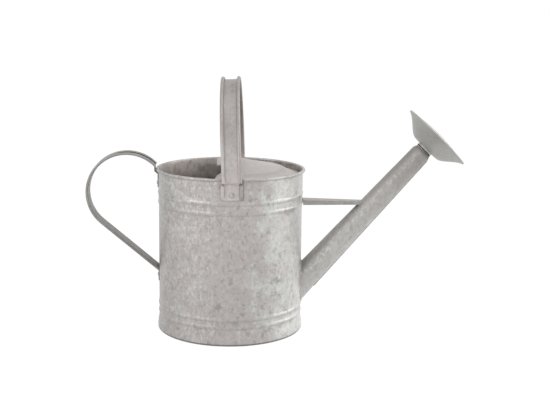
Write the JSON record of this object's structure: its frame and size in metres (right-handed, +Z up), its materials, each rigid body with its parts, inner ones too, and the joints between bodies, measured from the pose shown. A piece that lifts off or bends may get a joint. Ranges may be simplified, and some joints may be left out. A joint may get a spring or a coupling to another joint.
{
  "type": "watering can",
  "caption": "Round galvanised steel watering can with a rolled rim, half cover, arched carrying handle, looped pouring handle and a braced spout with a domed push-fit rose.",
  "frame": {"origin": "centre of the circle that the can's foot stands on, on the ground", "axes": "+Z up along the can's axis, +X towards the spout and the rose, +Y to the can's left as seen from behind the pouring handle"},
  "size_m": [0.5253, 0.2194, 0.3534],
  "materials": {
    "wall_zinc": "weathered galvanised zinc, dull with a faint spangle",
    "base_zinc": "weathered galvanised zinc, dull with a faint spangle",
    "cover_zinc": "weathered galvanised zinc, dull with a faint spangle",
    "handle_zinc": "weathered galvanised zinc, dull with a faint spangle",
    "pouring_handle_zinc": "weathered galvanised zinc, dull with a faint spangle",
    "rivet_zinc": "weathered galvanised zinc, dull with a faint spangle",
    "spout_zinc": "weathered galvanised zinc, dull with a faint spangle",
    "brace_zinc": "weathered galvanised zinc, dull with a faint spangle",
    "neck_zinc": "weathered galvanised zinc, dull with a faint spangle",
    "rose_zinc": "weathered galvanised zinc, dull with a faint spangle",
    "face_zinc": "weathered galvanised zinc, dull with a faint spangle",
    "seal_rubber": "matt black"
  },
  "bodies": {
    "can": {"body_wall": "wall_zinc", "base_pan": "base_zinc", "half_cover": "cover_zinc", "top_handle": "handle_zinc", "top_handle_front_rivet": "rivet_zinc", "top_handle_rear_rivet": "rivet_zinc", "back_handle": "pouring_handle_zinc", "back_handle_upper_rivet": "rivet_zinc", "back_handle_lower_rivet": "rivet_zinc", "spout_tube": "spout_zinc", "spout_brace": "brace_zinc"},
    "seal": {"rose_seal_ring": "seal_rubber"},
    "rose": {"rose_neck": "neck_zinc", "rose_cone": "rose_zinc", "rose_face": "face_zinc"}
  },
  "joints": [
    {"name": "rose_pull", "type": "slide", "parent": "can", "child": "seal", "axis": [0.7009, 0, 0.7133], "range_m": [0, 0.04]},
    {"name": "rose_twist", "type": "hinge", "parent": "seal", "child": "rose", "pos_m": [0.26855, 0, 0.2522], "axis": [0.7009, 0, 0.7133], "continuous": true}
  ]
}
